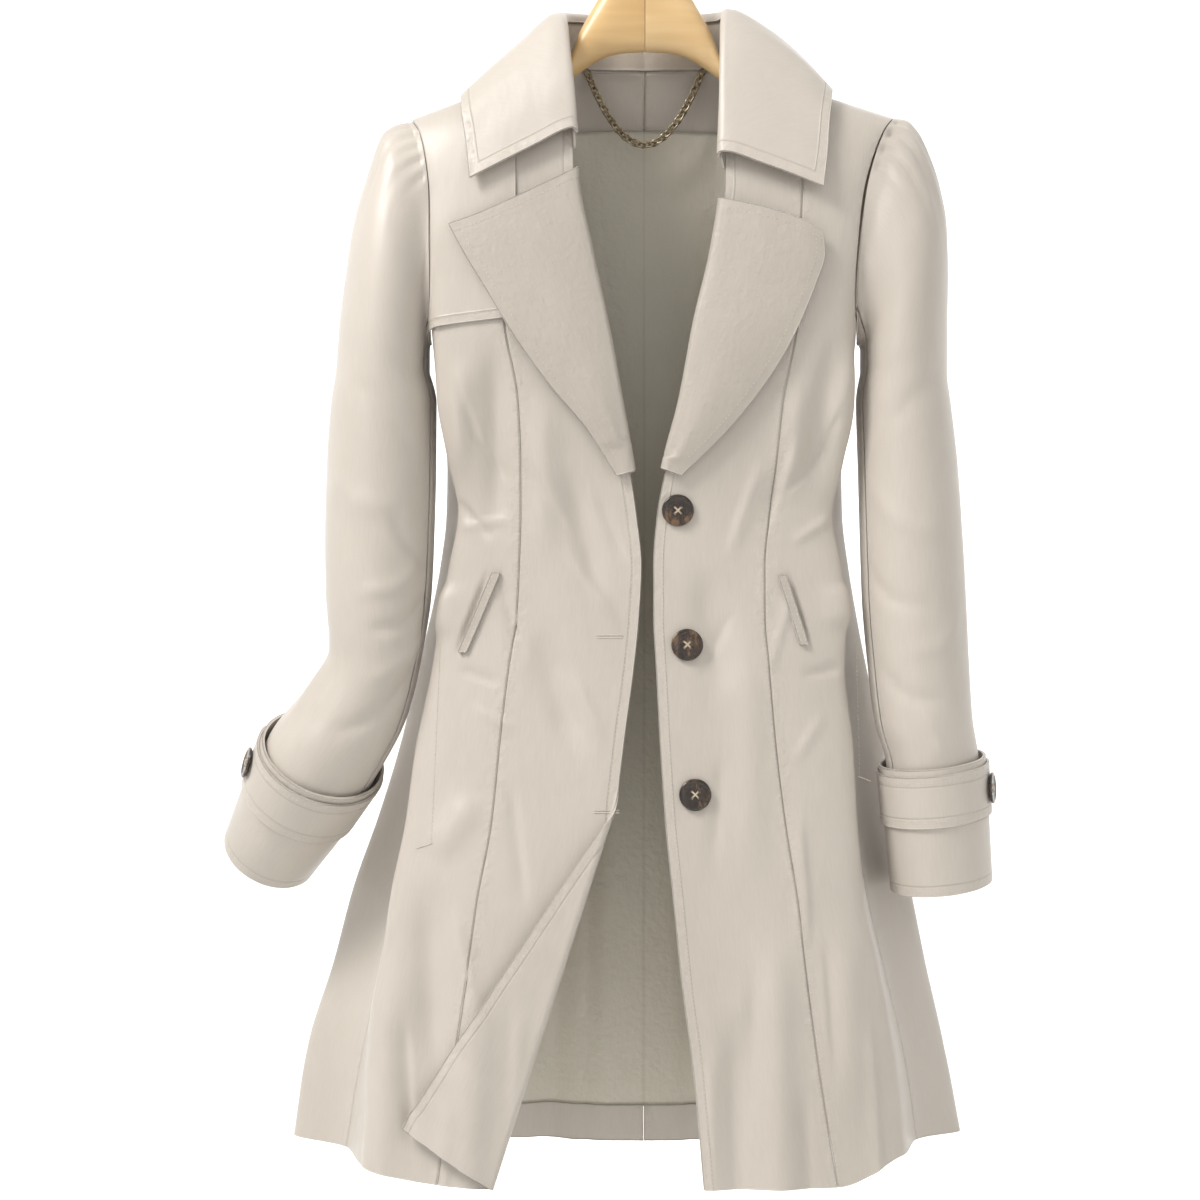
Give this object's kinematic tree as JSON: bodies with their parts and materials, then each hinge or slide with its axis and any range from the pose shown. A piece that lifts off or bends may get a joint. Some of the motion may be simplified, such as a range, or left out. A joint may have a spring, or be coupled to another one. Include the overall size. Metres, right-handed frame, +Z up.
{
  "type": "trench coat on a wooden coat hanger",
  "caption": "Light stone trench coat worn open on a wooden hanger, with wide lapels, gathered sleeve heads, strapped cuffs and horn buttons.",
  "frame": {"origin": "inside top of the hanger's hook, where the rail bears", "axes": "+Z up, the coat's front towards -Y, the wearer's left towards +X"},
  "size_m": [0.6161, 0.1863, 1.044],
  "materials": {
    "shell": "satin twill",
    "lining": "smooth satin lining",
    "horn": "dark brown mottled horn",
    "wood_dark": "clear satin lacquer",
    "wood_light": "clear satin lacquer",
    "steel": "polished",
    "chain": "antiqued"
  },
  "bodies": {
    "root": {"front_centre_R": "shell", "front_centre_L": "shell", "front_side_R": "shell", "front_side_L": "shell", "back_R": "shell", "back_L": "shell", "storm_flap": "shell", "pocket_welt_R": "shell", "pocket_welt_L": "shell", "lapel_R": "shell", "lapel_L": "shell", "collar_stand": "shell", "collar_leaf": "shell", "sleeve_upper_R": "shell", "sleeve_upper_L": "shell", "sleeve_under_R": "shell", "sleeve_under_L": "shell", "cuff_R": "shell", "cuff_L": "shell", "cuff_strap_R": "shell", "cuff_strap_L": "shell", "lining_back": "lining", "cuff_button_R": "horn", "cuff_button_L": "horn", "button_1": "horn", "button_2": "horn", "button_3": "horn", "hanger_right_half": "wood_dark", "hanger_left_half": "wood_light", "hook": "steel", "hanger_loop": "chain"}
  },
  "joints": []
}
